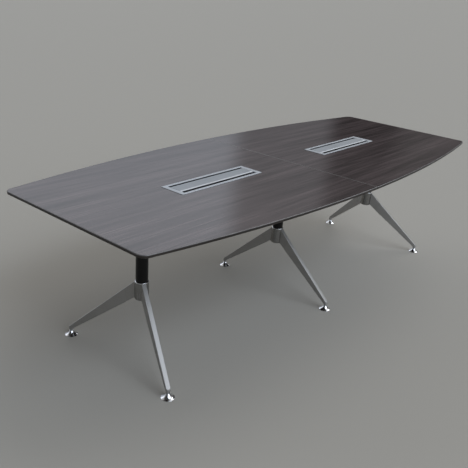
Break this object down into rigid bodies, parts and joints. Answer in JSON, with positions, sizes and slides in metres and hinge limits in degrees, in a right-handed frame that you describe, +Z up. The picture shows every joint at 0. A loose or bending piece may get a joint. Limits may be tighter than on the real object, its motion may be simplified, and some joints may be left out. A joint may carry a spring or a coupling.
{
  "type": "conference table",
  "caption": "Boat-shaped conference table: dark wood-grain top in two halves, flip-lid cable ports, black posts with splayed aluminium legs on levelling glides.",
  "frame": {"origin": "on the floor under the middle of the table", "axes": "+X along the table's length, +Y across it towards the hinges of the port lids, +Z up"},
  "size_m": [2.743, 1.118, 0.752],
  "materials": {
    "top_laminate": "satin wood-grain laminate",
    "edge_band": "satin",
    "dowel_wood": "bare beech",
    "black_steel": "gloss powder coat",
    "cast_aluminium": "satin, fine brushed",
    "satin_aluminium": "satin anodised",
    "chrome": "polished",
    "zinc_steel": "zinc plated",
    "black_plastic": "moulded",
    "black_bristle": "nylon bristle"
  },
  "bodies": {
    "table": {"brush_strip_left_back": "black_bristle", "brush_strip_left_front": "black_bristle", "brush_strip_right_back": "black_bristle", "brush_strip_right_front": "black_bristle", "cable_tray_left": "black_steel", "cable_tray_right": "black_steel", "edge_band_left": "edge_band", "edge_band_right": "edge_band", "hub_left": "cast_aluminium", "hub_middle": "cast_aluminium", "hub_right": "cast_aluminium", "hub_ring_left": "chrome", "hub_ring_middle": "chrome", "hub_ring_right": "chrome", "leg_left_back": "cast_aluminium", "leg_left_front": "cast_aluminium", "leg_middle_back": "cast_aluminium", "leg_middle_front": "cast_aluminium", "leg_right_back": "cast_aluminium", "leg_right_front": "cast_aluminium", "port_frame_left": "satin_aluminium", "port_frame_right": "satin_aluminium", "port_pin_left_inner": "zinc_steel", "port_pin_left_outer": "zinc_steel", "port_pin_right_inner": "zinc_steel", "port_pin_right_outer": "zinc_steel", "post_left": "black_steel", "post_middle": "black_steel", "post_plate_left": "black_steel", "post_plate_middle": "black_steel", "post_plate_right": "black_steel", "post_right": "black_steel", "rail_back": "black_steel", "rail_cap_back_left": "black_plastic", "rail_cap_back_right": "black_plastic", "rail_cap_front_left": "black_plastic", "rail_cap_front_right": "black_plastic", "rail_front": "black_steel", "seam_dowel_back": "dowel_wood", "seam_dowel_front": "dowel_wood", "seam_plate_back": "zinc_steel", "seam_plate_front": "zinc_steel", "top_panel_left": "top_laminate", "top_panel_right": "top_laminate"},
    "lid_left": {"port_lid_left": "satin_aluminium"},
    "lid_right": {"port_lid_right": "satin_aluminium"},
    "foot_left_front": {"glide_foot_left_front": "chrome"},
    "stem_left_front": {"glide_stem_left_front": "zinc_steel"},
    "foot_left_back": {"glide_foot_left_back": "chrome"},
    "stem_left_back": {"glide_stem_left_back": "zinc_steel"},
    "foot_middle_front": {"glide_foot_middle_front": "chrome"},
    "stem_middle_front": {"glide_stem_middle_front": "zinc_steel"},
    "foot_middle_back": {"glide_foot_middle_back": "chrome"},
    "stem_middle_back": {"glide_stem_middle_back": "zinc_steel"},
    "foot_right_front": {"glide_foot_right_front": "chrome"},
    "stem_right_front": {"glide_stem_right_front": "zinc_steel"},
    "foot_right_back": {"glide_foot_right_back": "chrome"},
    "stem_right_back": {"glide_stem_right_back": "zinc_steel"}
  },
  "joints": [
    {"name": "lid_left_hinge", "type": "hinge", "parent": "table", "child": "lid_left", "pos_m": [-0.552, 0.033, 0.746], "axis": [-1, 0, 0], "range_deg": [0, 105]},
    {"name": "lid_right_hinge", "type": "hinge", "parent": "table", "child": "lid_right", "pos_m": [0.552, 0.033, 0.746], "axis": [-1, 0, 0], "range_deg": [0, 105]},
    {"name": "glide_left_front_slide", "type": "slide", "parent": "table", "child": "foot_left_front", "axis": [0, 0, -1], "range_m": [0, 0.01]},
    {"name": "glide_left_front_screw", "type": "hinge", "parent": "foot_left_front", "child": "stem_left_front", "pos_m": [-1.13754, -0.33473, 0.035], "axis": [0, 0, -1], "range_deg": [0, 2881]},
    {"name": "glide_left_back_slide", "type": "slide", "parent": "table", "child": "foot_left_back", "axis": [0, 0, -1], "range_m": [0, 0.01]},
    {"name": "glide_left_back_screw", "type": "hinge", "parent": "foot_left_back", "child": "stem_left_back", "pos_m": [-1.13754, 0.33473, 0.035], "axis": [0, 0, -1], "range_deg": [0, 2881]},
    {"name": "glide_middle_front_slide", "type": "slide", "parent": "table", "child": "foot_middle_front", "axis": [0, 0, -1], "range_m": [0, 0.01]},
    {"name": "glide_middle_front_screw", "type": "hinge", "parent": "foot_middle_front", "child": "stem_middle_front", "pos_m": [0, -0.365, 0.035], "axis": [0, 0, -1], "range_deg": [0, 2881]},
    {"name": "glide_middle_back_slide", "type": "slide", "parent": "table", "child": "foot_middle_back", "axis": [0, 0, -1], "range_m": [0, 0.01]},
    {"name": "glide_middle_back_screw", "type": "hinge", "parent": "foot_middle_back", "child": "stem_middle_back", "pos_m": [0, 0.365, 0.035], "axis": [0, 0, -1], "range_deg": [0, 2881]},
    {"name": "glide_right_front_slide", "type": "slide", "parent": "table", "child": "foot_right_front", "axis": [0, 0, -1], "range_m": [0, 0.01]},
    {"name": "glide_right_front_screw", "type": "hinge", "parent": "foot_right_front", "child": "stem_right_front", "pos_m": [1.13754, -0.33473, 0.035], "axis": [0, 0, -1], "range_deg": [0, 2881]},
    {"name": "glide_right_back_slide", "type": "slide", "parent": "table", "child": "foot_right_back", "axis": [0, 0, -1], "range_m": [0, 0.01]},
    {"name": "glide_right_back_screw", "type": "hinge", "parent": "foot_right_back", "child": "stem_right_back", "pos_m": [1.13754, 0.33473, 0.035], "axis": [0, 0, -1], "range_deg": [0, 2881]}
  ],
  "couplings": [
    {"joint": "glide_left_front_screw", "follows": "glide_left_front_slide", "rad_per_m": 5026.5},
    {"joint": "glide_left_back_screw", "follows": "glide_left_back_slide", "rad_per_m": 5026.5},
    {"joint": "glide_middle_front_screw", "follows": "glide_middle_front_slide", "rad_per_m": 5026.5},
    {"joint": "glide_middle_back_screw", "follows": "glide_middle_back_slide", "rad_per_m": 5026.5},
    {"joint": "glide_right_front_screw", "follows": "glide_right_front_slide", "rad_per_m": 5026.5},
    {"joint": "glide_right_back_screw", "follows": "glide_right_back_slide", "rad_per_m": 5026.5}
  ]
}
